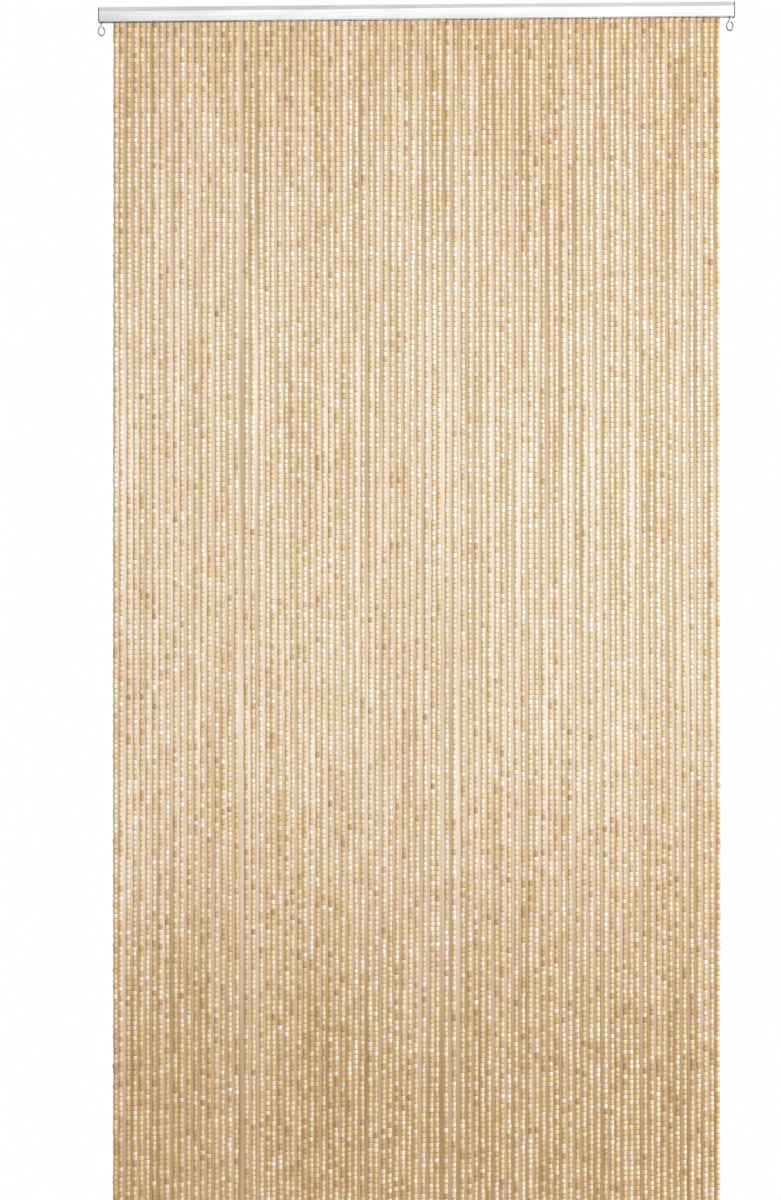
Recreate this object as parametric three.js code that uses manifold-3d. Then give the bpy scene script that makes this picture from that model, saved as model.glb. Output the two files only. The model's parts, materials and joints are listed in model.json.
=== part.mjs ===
// A door curtain of wooden beads: ninety strands that hang side by side from a plain aluminium rail.
// Units are millimetres. +X runs to the right along the rail, +Z is up, and the front faces -Y.
// The origin is the middle of the rail's flat back face.
import * as THREE from "three";
import { mergeVertices } from "three/addons/utils/BufferGeometryUtils.js";
import Module from "manifold-3d";

const wasm = await Module();
wasm.setup();

// The whole curtain
const OVERALL_WIDTH = 900;
const OVERALL_HEIGHT = 2000;
const CLEARANCE = 0.3; // between pieces that rest on each other

// Rail: an extruded channel with a sloped upper front and a slot along its underside
const RAIL_HEIGHT = 21.4;
const RAIL_DEPTH = 14;
const RAIL_WALL = 1.3;
const RAIL_TOP = RAIL_HEIGHT / 2;
const RAIL_BOTTOM = -RAIL_HEIGHT / 2;
const SLOPE_HEIGHT = 6.2;
const SLOPE_DEPTH = 3.6; // how far the slope leans back
const GROOVE_WIDTH = 0.6; // fine line below the slope
const GROOVE_DEPTH = 0.4;
const SLOT_WIDTH = 6;
const SLOT_CENTRE = -RAIL_DEPTH / 2; // y of the slot and of everything that hangs from it

// End caps: thin plates with a short plug that sits in the upper half of the channel
const CAP_THICKNESS = 1.4;
const CAP_PLUG_LENGTH = 3;
const CAP_PLUG_BOTTOM = RAIL_BOTTOM + 4.5;
const CAP_PLUG_DEPTH = 7.4;
const RAIL_LENGTH = OVERALL_WIDTH - 2 * (CAP_THICKNESS + CLEARANCE);

// Carrier: the strip inside the rail that the strands are tied to
const CARRIER_LENGTH = 860;
const CARRIER_DEPTH = 9;
const CARRIER_HEIGHT = 2.5;
const LIP_TOP = RAIL_BOTTOM + RAIL_WALL;
const CARRIER_BOTTOM = LIP_TOP + CLEARANCE;

// Strands
const STRAND_COUNT = 90;
const STRAND_WIDTH = 5.6; // as wide as its beads
const STRAND_SPAN = 857.6; // outer edge to outer edge
const NECK_WIDTH = 2.4; // the tied end that passes through the slot
const NECK_OVERLAP = 0.8; // how far the neck is sunk into the carrier
const SHOULDER_DROP = 0.7; // from the neck to the full width
const STRAND_TOP = RAIL_BOTTOM - 0.6;
const STRAND_SEGMENTS = 8;
const LENGTH_SPREAD = 5; // strands end up to this much above the lowest one
const WOBBLE = 0.5; // sideways, at each bend
const GAP_SPREAD = 2.4; // how far a gap may differ from the mean one
const CLOSEST_PITCH = 6.3; // strands never hang nearer than this

// Gaps that are clearly wider than their neighbours: the strand on their left, and by how much
const WIDE_GAPS = [
  { after: 8, extra: 1.6 },
  { after: 10, extra: 1.2 },
  { after: 18, extra: 2.4 },
  { after: 20, extra: 1.3 },
  { after: 39, extra: 1.8 },
  { after: 48, extra: 2.2 },
  { after: 50, extra: 1.5 },
  { after: 71, extra: 1.2 },
];

// How far the strands have swung sideways at their lower end, by strand; between rows it changes smoothly
const SWAYS = [
  { strand: 0, low: -1.2 },
  { strand: 14, low: -1.6 },
  { strand: 22, low: 2.6 },
  { strand: 31, low: -0.8 },
  { strand: 37, low: -1.8 },
  { strand: 45, low: -7 },
  { strand: 52, low: -0.8 },
  { strand: 66, low: 1.4 },
  { strand: 82, low: 2.6 },
  { strand: 89, low: 1.2 },
];
const SWAY_POWER = 1.7; // above 1, the lower end moves most

// Hanging eyes: a wire bent into an oval loop, on a flat foot that rests on the rail's lips
const WIRE_DIAMETER = 1.8;
const WIRE_SIDES = 8;
const WIRE_STEPS = 34;
const LOOP_WIDTH = 10.6; // outside
const LOOP_HEIGHT = 14.6;
const LOOP_CENTRE = RAIL_BOTTOM - 12.5;
const LOOP_START = 112; // degrees, counted from +X towards +Z
const LOOP_END = 434;
const LOOP_POINTS = 15;
const STEM_BEND = RAIL_BOTTOM - 3.4; // where the straight stem ends
const FOOT_LENGTH = 9; // across the slot
const FOOT_WIDTH = 3;
const FOOT_HEIGHT = 1.6;
const EYES = [
  { name: "eye_left", x: -446, turn: 20 },
  { name: "eye_right", x: 443, turn: 0 },
];

const MATERIALS = {
  wood: new THREE.MeshStandardMaterial({ color: 0xe3c89a, roughness: 0.6, metalness: 0 }),
  aluminium: new THREE.MeshStandardMaterial({ color: 0xd9dadd, roughness: 0.35, metalness: 1 }),
  wire: new THREE.MeshStandardMaterial({ color: 0xb9b9b8, roughness: 0.3, metalness: 1 }),
  cap: new THREE.MeshStandardMaterial({ color: 0x4a4a4d, roughness: 0.6, metalness: 0 }),
};

// A repeatable number from -1 to 1 for two whole numbers.
function spread(a, b) {
  const s = Math.sin(a * 12.9898 + b * 78.233) * 43758.5453;
  return 2 * (s - Math.floor(s)) - 1;
}

// A closed solid for joining, from a geometry whose place is in its points.
function solid(geometry) {
  const bare = geometry.clone();
  bare.deleteAttribute("normal");
  bare.deleteAttribute("uv");
  const merged = mergeVertices(bare, 1e-4);
  return new wasm.Manifold(
    new wasm.Mesh({
      numProp: 3,
      vertProperties: merged.attributes.position.array,
      triVerts: new Uint32Array(merged.index.array),
    }),
  );
}

// The geometry of a joined solid.
function geometryOf(joined) {
  const { numProp, numVert, vertProperties, triVerts } = joined.getMesh();
  const points = new Float32Array(numVert * 3);
  for (let i = 0; i < numVert; i++) {
    points.set(vertProperties.subarray(i * numProp, i * numProp + 3), i * 3);
  }
  const geometry = new THREE.BufferGeometry();
  geometry.setAttribute("position", new THREE.BufferAttribute(points, 3));
  geometry.setIndex(new THREE.BufferAttribute(triVerts, 1));
  geometry.computeVertexNormals();
  return geometry;
}

// A box between two corners, given as [x, y, z].
function block(low, high) {
  const size = high.map((value, axis) => value - low[axis]);
  const centre = high.map((value, axis) => (value + low[axis]) / 2);
  return new THREE.BoxGeometry(...size).translate(...centre);
}

// The two ends of the slope between the front and the top, as [y, z], moved inwards from the skin.
function slope(inset) {
  const length = Math.hypot(SLOPE_DEPTH, SLOPE_HEIGHT);
  return [
    [
      -RAIL_DEPTH + inset,
      RAIL_TOP - SLOPE_HEIGHT - (inset * (length - SLOPE_HEIGHT)) / SLOPE_DEPTH,
    ],
    [
      -RAIL_DEPTH + SLOPE_DEPTH + (inset * (length - SLOPE_DEPTH)) / SLOPE_HEIGHT,
      RAIL_TOP - inset,
    ],
  ];
}

// The section of the channel, from the front lip up over the slope to the back lip and back inside.
function railSection() {
  const grooveTop = RAIL_TOP - SLOPE_HEIGHT;
  const slotFront = SLOT_CENTRE - SLOT_WIDTH / 2;
  const slotBack = SLOT_CENTRE + SLOT_WIDTH / 2;
  const innerFront = -RAIL_DEPTH + RAIL_WALL;
  return [
    [slotFront, LIP_TOP],
    [slotFront, RAIL_BOTTOM],
    [-RAIL_DEPTH, RAIL_BOTTOM],
    [-RAIL_DEPTH, grooveTop - GROOVE_WIDTH],
    [-RAIL_DEPTH + GROOVE_DEPTH, grooveTop - GROOVE_WIDTH / 2],
    ...slope(0),
    [0, RAIL_TOP],
    [0, RAIL_BOTTOM],
    [slotBack, RAIL_BOTTOM],
    [slotBack, LIP_TOP],
    [-RAIL_WALL, LIP_TOP],
    [-RAIL_WALL, RAIL_TOP - RAIL_WALL],
    ...slope(RAIL_WALL).reverse(),
    [innerFront, LIP_TOP],
  ];
}

// The outline of an end cap, which covers the whole end of the rail.
function capSection() {
  return [
    [0, RAIL_BOTTOM],
    [-RAIL_DEPTH, RAIL_BOTTOM],
    ...slope(0),
    [0, RAIL_TOP],
  ];
}

// Runs a section of [y, z] points along X, centred on the origin.
function runAlongX(section, length) {
  const shape = new THREE.Shape(section.map(([y, z]) => new THREE.Vector2(y, z)));
  const geometry = new THREE.ExtrudeGeometry(shape, { depth: length, bevelEnabled: false });
  geometry.translate(0, 0, -length / 2);
  // The shape's x and y become the part's y and z, and the depth becomes its x.
  geometry.applyMatrix4(new THREE.Matrix4().set(0, 0, 1, 0, 1, 0, 0, 0, 0, 1, 0, 0, 0, 0, 0, 1));
  return geometry;
}

// A cap seen from its outer side: its plate starts at x = 0 and its plug points to +X.
function capGeometry() {
  const plate = runAlongX(capSection(), CAP_THICKNESS).translate(CAP_THICKNESS / 2, 0, 0);
  const inset = RAIL_WALL + CLEARANCE;
  const plug = block(
    [CAP_THICKNESS / 2, -inset - CAP_PLUG_DEPTH, CAP_PLUG_BOTTOM],
    [CAP_THICKNESS + CAP_PLUG_LENGTH, -inset, RAIL_TOP - inset],
  );
  return geometryOf(solid(plate).add(solid(plug)));
}

// How far a strand has swung sideways at a share of its length, from the rows of SWAYS.
function sway(strand, share) {
  const next = SWAYS.findIndex((row) => row.strand >= strand);
  const after = SWAYS[next];
  const before = SWAYS[Math.max(next - 1, 0)];
  const width = after.strand - before.strand || 1;
  const blend = THREE.MathUtils.smoothstep((strand - before.strand) / width, 0, 1);
  const low = THREE.MathUtils.lerp(before.low, after.low, blend);
  return low * share ** SWAY_POWER;
}

// Where each strand hangs from the carrier: uneven gaps, scaled so that all of them fill the span.
function strandPlaces() {
  const gaps = [];
  const mean = (STRAND_SPAN - STRAND_WIDTH) / (STRAND_COUNT - 1);
  for (let i = 0; i < STRAND_COUNT - 1; i++) {
    const wide = WIDE_GAPS.find((row) => row.after === i);
    gaps.push(mean + GAP_SPREAD * spread(i, 1) * Math.abs(spread(i, 2)) + (wide ? wide.extra : 0));
  }
  const scale = (mean * gaps.length) / gaps.reduce((sum, gap) => sum + gap, 0);
  const places = [(STRAND_WIDTH - STRAND_SPAN) / 2];
  for (const gap of gaps) {
    places.push(places[places.length - 1] + gap * scale);
  }
  return places;
}

// The bends of all strands: for each level from the top down, the x of every strand.
function strandBends() {
  const places = strandPlaces();
  const levels = [];
  for (let level = 0; level <= STRAND_SEGMENTS; level++) {
    const share = level / STRAND_SEGMENTS;
    const row = places.map((x, i) => x + sway(i, share) + (level ? WOBBLE * spread(i, level + 10) : 0));
    for (let i = 1; i < row.length; i++) {
      row[i] = Math.max(row[i], row[i - 1] + CLOSEST_PITCH);
    }
    levels.push(row);
  }
  return levels;
}

// A four-sided strand: a bar with the given rings, each { x, z, width }, from the top down.
function strandGeometry(rings) {
  const geometry = new THREE.BoxGeometry(1, 1, 1, 1, 1, rings.length - 1);
  geometry.deleteAttribute("normal");
  geometry.deleteAttribute("uv");
  const points = geometry.attributes.position;
  for (let i = 0; i < points.count; i++) {
    const ring = rings[Math.round((0.5 - points.getZ(i)) * (rings.length - 1))];
    points.setXYZ(
      i,
      ring.x + points.getX(i) * ring.width,
      SLOT_CENTRE + points.getY(i) * ring.width,
      ring.z,
    );
  }
  return geometry;
}

// All strands, joined at their roots by the carrier.
function strandsGeometry() {
  const bends = strandBends();
  const lowest = RAIL_TOP - OVERALL_HEIGHT;
  let joined = solid(
    block(
      [-CARRIER_LENGTH / 2, SLOT_CENTRE - CARRIER_DEPTH / 2, CARRIER_BOTTOM],
      [CARRIER_LENGTH / 2, SLOT_CENTRE + CARRIER_DEPTH / 2, CARRIER_BOTTOM + CARRIER_HEIGHT],
    ),
  );
  for (let i = 0; i < STRAND_COUNT; i++) {
    const bottom = i === 0 ? lowest : lowest + LENGTH_SPREAD * Math.abs(spread(i, 3));
    const top = bends[0][i];
    const rings = [
      { x: top, z: CARRIER_BOTTOM + NECK_OVERLAP, width: NECK_WIDTH },
      { x: top, z: STRAND_TOP + SHOULDER_DROP / 2, width: NECK_WIDTH },
    ];
    for (let level = 0; level <= STRAND_SEGMENTS; level++) {
      const z = THREE.MathUtils.lerp(STRAND_TOP, bottom, level / STRAND_SEGMENTS);
      rings.push({ x: bends[level][i], z, width: STRAND_WIDTH });
    }
    joined = joined.add(solid(strandGeometry(rings)));
  }
  return geometryOf(joined);
}

// A hanging eye around x = 0: foot, stem and loop, with the loop turned about the stem.
function eyeGeometry(turn) {
  const radius = WIRE_DIAMETER / 2;
  const path = [
    new THREE.Vector3(0, 0, CARRIER_BOTTOM + FOOT_HEIGHT / 2),
    new THREE.Vector3(0, 0, RAIL_BOTTOM - radius),
    new THREE.Vector3(0, 0, STEM_BEND),
  ];
  for (let i = 0; i < LOOP_POINTS; i++) {
    const angle = THREE.MathUtils.degToRad(
      THREE.MathUtils.lerp(LOOP_START, LOOP_END, i / (LOOP_POINTS - 1)),
    );
    path.push(
      new THREE.Vector3(
        (LOOP_WIDTH / 2 - radius) * Math.cos(angle),
        0,
        LOOP_CENTRE + (LOOP_HEIGHT / 2 - radius) * Math.sin(angle),
      ),
    );
  }
  const section = new THREE.Shape();
  for (let i = 0; i < WIRE_SIDES; i++) {
    const angle = (i / WIRE_SIDES) * 2 * Math.PI;
    const point = [radius * Math.cos(angle), radius * Math.sin(angle)];
    if (i) section.lineTo(...point);
    else section.moveTo(...point);
  }
  const wire = new THREE.ExtrudeGeometry(section, {
    steps: WIRE_STEPS,
    extrudePath: new THREE.CatmullRomCurve3(path, false, "centripetal"),
    bevelEnabled: false,
  });
  wire.rotateZ(THREE.MathUtils.degToRad(turn));
  const foot = block(
    [-FOOT_WIDTH / 2, -FOOT_LENGTH / 2, CARRIER_BOTTOM],
    [FOOT_WIDTH / 2, FOOT_LENGTH / 2, CARRIER_BOTTOM + FOOT_HEIGHT],
  );
  return geometryOf(solid(wire).add(solid(foot)));
}

function named(name, geometry, material) {
  const mesh = new THREE.Mesh(geometry, material);
  mesh.name = name;
  return mesh;
}

const curtain = new THREE.Group();

curtain.add(named("rail", runAlongX(railSection(), RAIL_LENGTH), MATERIALS.aluminium));
curtain.add(named("strands", strandsGeometry(), MATERIALS.wood));

const capLeft = named("end_cap_left", capGeometry(), MATERIALS.cap);
capLeft.position.x = -OVERALL_WIDTH / 2;
curtain.add(capLeft);

// The right cap is the left one mirrored.
const capRight = named("end_cap_right", capGeometry(), MATERIALS.cap);
capRight.scale.x = -1;
capRight.position.x = OVERALL_WIDTH / 2;
curtain.add(capRight);

for (const { name, x, turn } of EYES) {
  const eye = named(name, eyeGeometry(turn), MATERIALS.wire);
  eye.position.set(x, SLOT_CENTRE, 0);
  curtain.add(eye);
}

export default curtain;
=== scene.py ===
"""A door curtain of wooden beads on an aluminium rail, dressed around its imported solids.

Lengths are metres. The rail runs along X, the front faces -Y and the strands hang down along -Z.
"""

import json
import logging
import math
from dataclasses import dataclass
from enum import Enum, IntEnum

import bmesh
import bpy
import numpy as np
from mathutils import Matrix, Vector

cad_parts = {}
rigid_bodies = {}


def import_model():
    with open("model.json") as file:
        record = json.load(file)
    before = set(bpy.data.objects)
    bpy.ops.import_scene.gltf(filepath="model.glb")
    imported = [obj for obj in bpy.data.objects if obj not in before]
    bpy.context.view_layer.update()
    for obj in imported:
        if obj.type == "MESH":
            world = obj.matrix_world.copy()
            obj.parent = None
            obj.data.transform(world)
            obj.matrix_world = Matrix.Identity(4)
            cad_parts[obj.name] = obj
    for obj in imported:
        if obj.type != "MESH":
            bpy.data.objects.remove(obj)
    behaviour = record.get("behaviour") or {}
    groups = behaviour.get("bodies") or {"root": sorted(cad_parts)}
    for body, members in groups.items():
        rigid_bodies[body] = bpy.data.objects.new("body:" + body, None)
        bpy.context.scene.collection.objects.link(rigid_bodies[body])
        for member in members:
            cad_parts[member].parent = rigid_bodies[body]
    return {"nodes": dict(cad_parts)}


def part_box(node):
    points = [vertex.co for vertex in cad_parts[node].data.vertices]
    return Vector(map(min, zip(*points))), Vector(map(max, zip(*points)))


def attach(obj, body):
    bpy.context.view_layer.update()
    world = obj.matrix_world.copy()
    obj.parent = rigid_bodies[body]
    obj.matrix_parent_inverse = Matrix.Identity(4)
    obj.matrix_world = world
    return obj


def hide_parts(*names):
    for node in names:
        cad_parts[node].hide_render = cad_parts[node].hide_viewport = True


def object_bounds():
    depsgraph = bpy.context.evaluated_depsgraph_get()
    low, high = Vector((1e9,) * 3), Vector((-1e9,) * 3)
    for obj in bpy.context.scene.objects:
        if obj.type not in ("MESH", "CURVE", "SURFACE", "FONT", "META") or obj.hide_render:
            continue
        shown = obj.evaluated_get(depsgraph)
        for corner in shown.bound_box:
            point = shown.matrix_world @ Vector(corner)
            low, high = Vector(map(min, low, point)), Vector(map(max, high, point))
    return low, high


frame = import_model()
CAD_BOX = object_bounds()

LOG = logging.getLogger("bead_curtain")
BODY = "root"
MM = 0.001
FULL_TURN = 2 * math.pi
NOISE_MIDDLE = 0.5  # the mean of a noise
BEAD_VALUES = "bead"  # face attribute: tone, hue and seed of each bead
JOINT_DIRT_AND_SHADE = "crevice"  # point attribute: 1 in the joint between two beads, 0 on a bead's side; the wood is darkened there with dirt and painted shade
BAKE_MAP = "OFBake"  # the map laid out for a bake

Colour = tuple[float, float, float, float]
Triple = tuple[float, float, float]
Span = tuple[float, float]  # a start and an end


def srgb(red: float, green: float, blue: float) -> Colour:
    """Turns a colour as seen on a screen, 0 to 255, into a linear one.

    Args:
        red: The red part.
        green: The green part.
        blue: The blue part.

    Returns:
        The linear colour with an alpha of 1.
    """
    parts = [part / 255 for part in (red, green, blue)]
    linear = [part / 12.92 if part <= 0.04045 else ((part + 0.055) / 1.055) ** 2.4 for part in parts]
    return (*linear, 1.0)


class Side(Enum):
    """The two ends of the rail."""

    LEFT = "left"
    RIGHT = "right"


class Ring(IntEnum):
    """The rings of one bead, from the top down. The joint below is the next bead's."""

    JOINT = 0
    UPPER_SHOULDER = 1
    LOWER_SHOULDER = 2


@dataclass(frozen=True)
class Pattern:
    """A noise in one material."""

    scale: Triple  # bumps a metre along X, Y and Z
    detail: float = 2.0  # the number of finer layers
    roughness: float = 0.5  # how strong they are
    jump: float = 0.0  # how many bumps it moves on from a bead of seed 0 to one of seed 1


class Signal:
    """One output of a shader node. Arithmetic on signals adds Math nodes."""

    def __init__(self, graph: "Graph", socket: bpy.types.NodeSocket) -> None:
        """Wraps a socket.

        Args:
            graph: The graph that the socket is in.
            socket: The output socket.
        """
        self.graph = graph
        self.socket = socket

    def _math(self, operation: str, first: "Signal | float", second: "Signal | float") -> "Signal":
        """Adds one Math node of two values."""
        return self.graph.signal("ShaderNodeMath", {"operation": operation}, {0: first, 1: second})

    def __add__(self, other: "Signal | float") -> "Signal":
        """The sum."""
        return self._math("ADD", self, other)

    def __radd__(self, other: float) -> "Signal":
        """The sum with a number on the left."""
        return self._math("ADD", other, self)

    def __sub__(self, other: "Signal | float") -> "Signal":
        """The difference."""
        return self._math("SUBTRACT", self, other)

    def __rsub__(self, other: float) -> "Signal":
        """The difference from a number on the left."""
        return self._math("SUBTRACT", other, self)

    def __mul__(self, other: "Signal | float") -> "Signal":
        """The product."""
        return self._math("MULTIPLY", self, other)

    def __rmul__(self, other: float) -> "Signal":
        """The product with a number on the left."""
        return self._math("MULTIPLY", other, self)

    def __truediv__(self, other: "Signal | float") -> "Signal":
        """The quotient."""
        return self._math("DIVIDE", self, other)

    def __gt__(self, other: "Signal | float") -> "Signal":
        """1 where the left side is greater, else 0."""
        return self._math("GREATER_THAN", self, other)


def between(share: Signal, span: Span) -> Signal:
    """The value at a share of the way from a span's start to its end."""
    return span[0] + share * (span[1] - span[0])


class Graph:
    """A node tree that is being filled."""

    def __init__(self, tree: bpy.types.NodeTree) -> None:
        """Wraps the tree of a material or of the world."""
        self.tree = tree

    def node(self, kind: str, settings: dict | None = None, inputs: dict | None = None) -> bpy.types.Node:
        """Adds a node.

        Args:
            kind: The node's type.
            settings: Its properties; "stops" gives a ramp's (position, colour) pairs.
            inputs: Values or signals by the name or number of their socket.

        Returns:
            The node.
        """
        made = self.tree.nodes.new(kind)
        for name, value in (settings or {}).items():
            if name == "stops":
                elements = made.color_ramp.elements
                while len(elements) < len(value):
                    elements.new(1.0)
                for element, (position, colour) in zip(elements, value):
                    element.position = position
                    element.color = colour
            else:
                setattr(made, name, value)
        self.feed(made, inputs or {})
        return made

    def feed(self, node: bpy.types.Node, inputs: dict) -> None:
        """Links signals to a node's sockets, or sets the sockets' own values.

        Args:
            node: The node.
            inputs: Values or signals by the name or number of their socket.
        """
        for key, value in inputs.items():
            if isinstance(value, Signal):
                self.tree.links.new(value.socket, node.inputs[key])
            else:
                node.inputs[key].default_value = value

    def signal(
        self,
        kind: str,
        settings: dict | None = None,
        inputs: dict | None = None,
        output: str | int = 0,
    ) -> Signal:
        """Adds a node and gives one of its outputs.

        Args:
            kind: The node's type.
            settings: Its properties, as in node().
            inputs: Its values or signals, as in node().
            output: The name or number of the output.

        Returns:
            The output.
        """
        return Signal(self, self.node(kind, settings, inputs).outputs[output])

    def parts(self, vector: Signal) -> tuple[Signal, ...]:
        """The X, Y and Z of a vector."""
        split = self.node("ShaderNodeSeparateXYZ", None, {0: vector})
        return tuple(Signal(self, part) for part in split.outputs)

    def place(self) -> Signal:
        """The object's own coordinates."""
        return self.signal("ShaderNodeTexCoord", output="Object")

    def attribute(self, name: str, output: str) -> Signal:
        """An attribute of the mesh, read as Vector or Fac."""
        settings = {"attribute_type": "GEOMETRY", "attribute_name": name}
        return self.signal("ShaderNodeAttribute", settings, output=output)

    def noise(self, place: Signal, pattern: Pattern, seed: "Signal | None" = None) -> Signal:
        """Smooth noise from 0 to 1.

        Args:
            place: Where it is read.
            pattern: Its scale and its finer layers.
            seed: The seed of each bead, where every bead shows another part of the noise.

        Returns:
            The noise.
        """
        read = self.signal("ShaderNodeVectorMath", {"operation": "MULTIPLY"}, {0: place, 1: pattern.scale})
        if seed is not None:
            shift = seed * pattern.jump
            read = self.signal("ShaderNodeVectorMath", {"operation": "ADD"}, {0: read, 1: shift})
        inputs = {"Vector": read, "Scale": 1.0, "Detail": pattern.detail, "Roughness": pattern.roughness}
        return self.signal("ShaderNodeTexNoise", None, inputs)

    def ramp(self, value: Signal, stops: tuple[tuple[float, Colour], ...]) -> Signal:
        """Turns a value into a colour, by pairs of a position and its colour."""
        return self.signal("ShaderNodeValToRGB", {"stops": stops}, {"Fac": value}, output="Color")

    def step(self, value: Signal, span: Span) -> Signal:
        """A smooth step: 0 below the span, 1 above it."""
        settings = {"interpolation_type": "SMOOTHSTEP", "clamp": True}
        inputs = {"Value": value, "From Min": span[0], "From Max": span[1]}
        return self.signal("ShaderNodeMapRange", settings, inputs)

    def mix(
        self,
        share: "Signal | float",
        first: "Signal | Colour",
        second: "Signal | Colour",
        how: str = "MIX",
    ) -> Signal:
        """Mixes two colours.

        Args:
            share: The share of the second one.
            first: The first colour.
            second: The second colour.
            how: The blend type.

        Returns:
            The mixed colour.
        """
        settings = {"data_type": "RGBA", "blend_type": how}
        return self.signal("ShaderNodeMix", settings, {0: share, 6: first, 7: second}, output=2)

    def bump(self, height: Signal, distance: float) -> Signal:
        """The normal over a relief that is a distance in metres high where the height is 1."""
        return self.signal("ShaderNodeBump", None, {"Height": height, "Distance": distance, "Strength": 1.0})


class Finish:
    """What every finish has: a material made once, of a principled surface."""

    name: str = "plain"
    slot: str = ""  # the record's material slot

    def material(self) -> bpy.types.Material:
        """The finish's material, made at the first call."""
        found = bpy.data.materials.get(self.name)
        if found:
            return found
        made = bpy.data.materials.new(self.name)
        made.use_nodes = True
        self.fill(Graph(made.node_tree), made.node_tree.nodes["Principled BSDF"])
        return made

    def fill(self, graph: Graph, surface: bpy.types.Node) -> None:
        """Adds the nodes of the finish.

        Args:
            graph: The material's graph.
            surface: Its surface shader.
        """
        raise NotImplementedError


@dataclass(frozen=True)
class BeadWood(Finish):
    """Turned pale wood under a thin varnish, each bead of its own tone."""

    name: str = "turned_wood"
    slot: str = "bead_wood"
    browns: tuple[tuple[float, Colour], ...] = (
        (0.0, srgb(196, 156, 108)),
        (0.16, srgb(216, 181, 131)),
        (0.34, srgb(231, 201, 154)),
        (0.52, srgb(241, 219, 181)),
        (0.7, srgb(247, 232, 204)),
        (0.88, srgb(251, 240, 221)),
        (1.0, srgb(254, 248, 238)),
    )
    blush: Colour = srgb(243, 206, 178)
    straw: Colour = srgb(236, 217, 142)
    speck: Colour = srgb(140, 96, 58)
    # joint: dirt and painted shade in the joints between beads
    joint: Colour = srgb(126, 90, 54)
    blushing: Span = (0.6, 1.0)  # of the beads' hue
    yellowing: Span = (0.0, 0.45)
    hue_share: float = 0.5
    grain: Pattern = Pattern((1500.0, 1500.0, 110.0), 3.0, 0.6, jump=40.0)
    grain_tone: float = 0.26
    grain_height: float = 0.03 * MM
    blotch: Pattern = Pattern((420.0, 420.0, 160.0), 1.0, jump=90.0)
    blotch_tone: float = 0.18
    dots: Pattern = Pattern((900.0, 900.0, 420.0), 1.0, jump=70.0)
    dots_shown: Span = (0.68, 0.74)
    dotted_beads: Span = (0.55, 0.6)  # of the beads' seed
    speck_share: float = 0.6
    joint_dirt_and_shade_depth: Span = (0.2, 1.0)  # of the joint mask, where dirt and painted shade darken the wood
    joint_dirt_and_shade_share: float = 0.6
    roughness: Span = (0.65, 0.35)
    varnish: float = 0.2
    varnish_roughness: float = 0.3

    def fill(self, graph: Graph, surface: bpy.types.Node) -> None:
        """Adds tone by bead, grain along the strand, specks, and darker joints of dirt and painted shade."""
        tone, hue, seed = graph.parts(graph.attribute(BEAD_VALUES, "Vector"))
        place = graph.place()
        grain = graph.noise(place, self.grain, seed)
        blotch = graph.noise(place, self.blotch, seed)
        shade = tone + (grain - NOISE_MIDDLE) * self.grain_tone + (blotch - NOISE_MIDDLE) * self.blotch_tone
        colour = graph.ramp(shade, self.browns)
        colour = graph.mix(graph.step(hue, self.blushing) * self.hue_share, colour, self.blush)
        colour = graph.mix((1.0 - graph.step(hue, self.yellowing)) * self.hue_share, colour, self.straw)
        specks = graph.step(graph.noise(place, self.dots, seed), self.dots_shown)
        specks = specks * graph.step(seed, self.dotted_beads)
        colour = graph.mix(specks * self.speck_share, colour, self.speck)
        # dirt and painted shade darken the joints between beads
        crevice = graph.step(graph.attribute(JOINT_DIRT_AND_SHADE, "Fac"), self.joint_dirt_and_shade_depth)
        inputs = {
            "Base Color": graph.mix(crevice * self.joint_dirt_and_shade_share, colour, self.joint),
            "Roughness": between(grain, self.roughness),
            "Normal": graph.bump(grain, self.grain_height),
            "Coat Weight": self.varnish,
            "Coat Roughness": self.varnish_roughness,
        }
        graph.feed(surface, inputs)


@dataclass(frozen=True)
class RailMetal(Finish):
    """Satin aluminium with fine lines along the rail."""

    name: str = "satin_aluminium"
    slot: str = "rail_aluminium"
    pale: Colour = srgb(242, 242, 245)
    dull: Colour = srgb(216, 217, 222)
    streaks: Pattern = Pattern((5.0, 700.0, 700.0), 4.0, 0.6)
    clouds: Pattern = Pattern((9.0, 60.0, 60.0))
    lines: Pattern = Pattern((14.0, 5200.0, 5200.0))
    streak_share: float = 0.6
    paling: Span = (0.35, 0.65)
    line_height: float = 0.005 * MM
    roughness: Span = (0.16, 0.28)
    metallic: float = 0.7  # less than bare metal, for the dull film on it

    def fill(self, graph: Graph, surface: bpy.types.Node) -> None:
        """Adds lengthwise streaks in tone, gloss and relief."""
        place = graph.place()
        streaks = graph.noise(place, self.streaks)
        tone = streaks * self.streak_share + graph.noise(place, self.clouds) * (1 - self.streak_share)
        inputs = {
            "Base Color": graph.mix(graph.step(tone, self.paling), self.dull, self.pale),
            "Roughness": between(streaks, self.roughness),
            "Normal": graph.bump(graph.noise(place, self.lines), self.line_height),
            "Metallic": self.metallic,
        }
        graph.feed(surface, inputs)


@dataclass(frozen=True)
class Wire(Finish):
    """Drawn steel wire, zinc plated."""

    name: str = "plated_wire"
    slot: str = "eye_wire"
    bright: Colour = srgb(140, 140, 139)
    dark: Colour = srgb(88, 88, 90)
    patches: Pattern = Pattern((700.0, 700.0, 700.0), 3.0, 0.6)
    dulling: Span = (0.4, 0.7)
    roughness: Span = (0.2, 0.45)

    def fill(self, graph: Graph, surface: bpy.types.Node) -> None:
        """Adds dull patches to the plating."""
        patches = graph.noise(graph.place(), self.patches)
        inputs = {
            "Base Color": graph.mix(graph.step(patches, self.dulling), self.bright, self.dark),
            "Roughness": between(patches, self.roughness),
            "Metallic": 1.0,
        }
        graph.feed(surface, inputs)


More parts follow.
